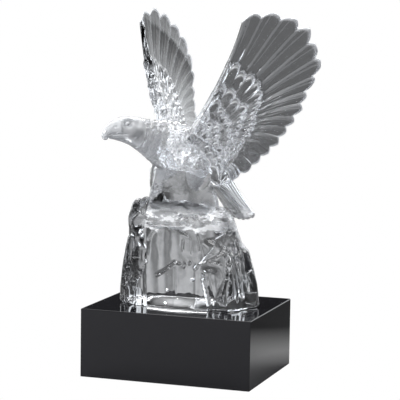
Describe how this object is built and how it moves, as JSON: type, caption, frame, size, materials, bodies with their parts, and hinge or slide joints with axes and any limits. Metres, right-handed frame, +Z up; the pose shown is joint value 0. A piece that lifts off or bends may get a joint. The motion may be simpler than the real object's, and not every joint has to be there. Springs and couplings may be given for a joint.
{
  "type": "crystal eagle sculpture",
  "caption": "Clear crystal eagle with raised, spread wings perched on a rough crag, standing on a polished black crystal block.",
  "frame": {"origin": "centre of the black block's underside", "axes": "+Z up, X along the block's long side, the block's front face at -Y; the eagle faces the front left corner, between -X and -Y"},
  "size_m": [0.1626, 0.1525, 0.2616],
  "materials": {
    "clear_crystal": "clear cast crystal, polished, with feather and rock texture moulded in",
    "black_crystal": "opaque black crystal, polished to a gloss, narrow bevels"
  },
  "bodies": {
    "root": {"crystal_eagle": "clear_crystal", "black_block": "black_crystal"}
  },
  "joints": []
}
